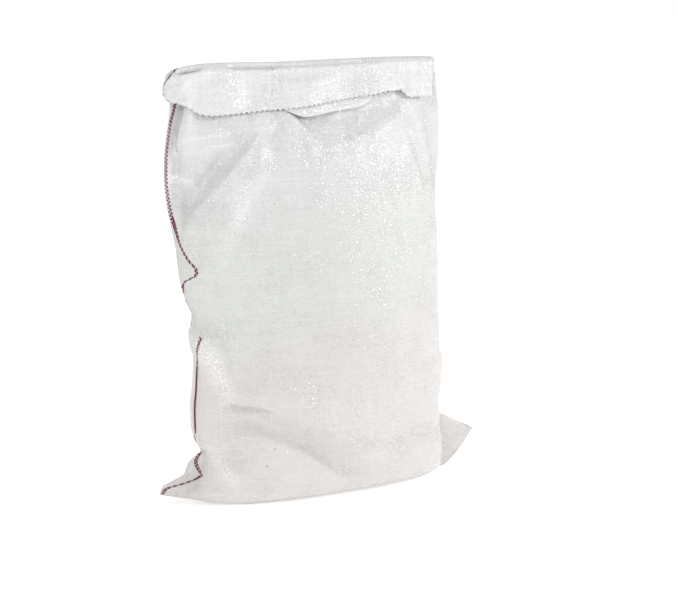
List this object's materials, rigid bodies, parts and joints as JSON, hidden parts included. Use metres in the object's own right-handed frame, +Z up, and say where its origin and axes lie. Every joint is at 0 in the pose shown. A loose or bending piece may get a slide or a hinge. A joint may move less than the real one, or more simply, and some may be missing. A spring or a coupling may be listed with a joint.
{
  "type": "rubble sack",
  "caption": "Filled woven polypropylene rubble sack standing upright, its mouth folded over the front as a flap, with a two-colour tracer line down one side fold.",
  "frame": {"origin": "on the floor, under the centre of the sack's box", "axes": "+Z up; -Y out of the front panel, over which the mouth is folded; -X towards the side fold with the tracer tapes"},
  "size_m": [0.598, 0.214, 0.7227],
  "materials": {
    "woven_cloth": "glossy woven polypropylene tape cloth",
    "rubble": "broken concrete and brick, dry and dusty",
    "seam_thread": "twisted sewing thread",
    "tracer_red": "dyed polypropylene tape",
    "tracer_blue": "dyed polypropylene tape"
  },
  "bodies": {
    "root": {"woven_sack": "woven_cloth", "rubble_fill": "rubble", "bottom_seam_thread": "seam_thread", "red_tracer_tape": "tracer_red", "blue_tracer_tape": "tracer_blue"}
  },
  "joints": []
}
